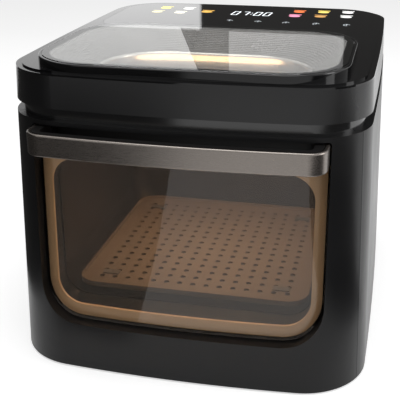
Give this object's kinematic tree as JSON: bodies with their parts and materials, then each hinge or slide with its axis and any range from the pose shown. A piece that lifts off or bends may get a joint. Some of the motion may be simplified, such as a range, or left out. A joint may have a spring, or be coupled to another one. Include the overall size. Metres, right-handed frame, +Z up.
{
  "type": "air fryer oven",
  "caption": "Countertop air fryer oven with a windowed pull-out drawer, a flush touch panel and a glass view port over its cooking chamber.",
  "frame": {"origin": "bottom centre of the overall box, on the table under the feet", "axes": "+Z up, -Y towards the drawer's front, +X to the right seen from the front"},
  "size_m": [0.335, 0.4146, 0.288],
  "materials": {
    "shell_black": "satin moulded plastic",
    "band_black": "satin moulded plastic",
    "gloss_black": "polished",
    "panel_black": "polished",
    "control_glass": "back-printed black glass",
    "clear_glass": "polished",
    "tinted_glass": "polished, lightly tinted",
    "trim_bronze": "satin anodised",
    "gunmetal": "brushed anodised",
    "dark_plastic": "fine texture",
    "liner_steel": "dark non-stick coating",
    "basket_coat": "dark non-stick coating",
    "plate_coat": "dark non-stick coating",
    "galvanised": "zinc plated",
    "bright_steel": "polished",
    "funnel_grey": "ribbed satin",
    "fan_aluminium": "plain",
    "silicone_black": "matt",
    "silicone_grey": "matt",
    "board_green": "solder mask",
    "lamp_warm": "frosted"
  },
  "bodies": {
    "housing": {"front_bezel": "shell_black", "main_shell": "shell_black", "rear_cover": "dark_plastic", "rear_screws": "galvanised", "base_plate": "dark_plastic", "base_screws": "galvanised", "foot_front_left": "silicone_black", "foot_front_right": "silicone_black", "foot_rear_left": "silicone_black", "foot_rear_right": "silicone_black", "neck_ring": "gloss_black", "upper_housing": "band_black", "top_panel": "panel_black", "control_lens": "control_glass", "display_module": "dark_plastic", "touch_board": "board_green", "top_window_glass": "clear_glass", "top_window_seal": "silicone_black", "viewing_funnel": "funnel_grey", "funnel_ring": "bright_steel", "throat_glass": "clear_glass", "throat_seal": "silicone_grey", "cavity_liner": "liner_steel", "heat_shield": "galvanised", "rail_left": "bright_steel", "rail_right": "bright_steel", "fan_cover": "liner_steel", "heater_element": "bright_steel", "heater_brackets": "galvanised", "motor_bracket": "galvanised", "fan_motor": "dark_plastic", "interior_lamp": "lamp_warm", "temperature_probe": "bright_steel", "thermal_cutout": "galvanised", "power_board": "board_green", "cord_inlet": "dark_plastic", "drawer_switch": "dark_plastic"},
    "drawer": {"drawer_front_frame": "dark_plastic", "window_trim": "trim_bronze", "drawer_glass_outer": "tinted_glass", "drawer_glass_inner": "clear_glass", "drawer_seal": "silicone_black", "handle_bar": "gunmetal", "handle_grip": "dark_plastic", "handle_screws": "galvanised", "basket": "basket_coat"},
    "plate": {"crisper_plate": "plate_coat", "plate_bumpers": "silicone_grey"},
    "fan": {"convection_fan": "fan_aluminium", "motor_shaft": "bright_steel", "cooling_fan": "dark_plastic"},
    "plunger": {"switch_plunger": "dark_plastic"}
  },
  "joints": [
    {"name": "drawer_slide", "type": "slide", "parent": "housing", "child": "drawer", "axis": [0, -1, 0], "range_m": [0, 0.225]},
    {"name": "plate_lift", "type": "slide", "parent": "drawer", "child": "plate", "axis": [0, 0, 1], "range_m": [0, 0.11]},
    {"name": "fan_spin", "type": "hinge", "parent": "housing", "child": "fan", "pos_m": [0, 0.10319, 0.138], "axis": [0, 1, 0], "continuous": true},
    {"name": "switch_press", "type": "slide", "parent": "housing", "child": "plunger", "axis": [0, 0, 1], "range_m": [0, 0.0015], "stiffness_N_per_m": 250, "springref_m": -0.002}
  ]
}
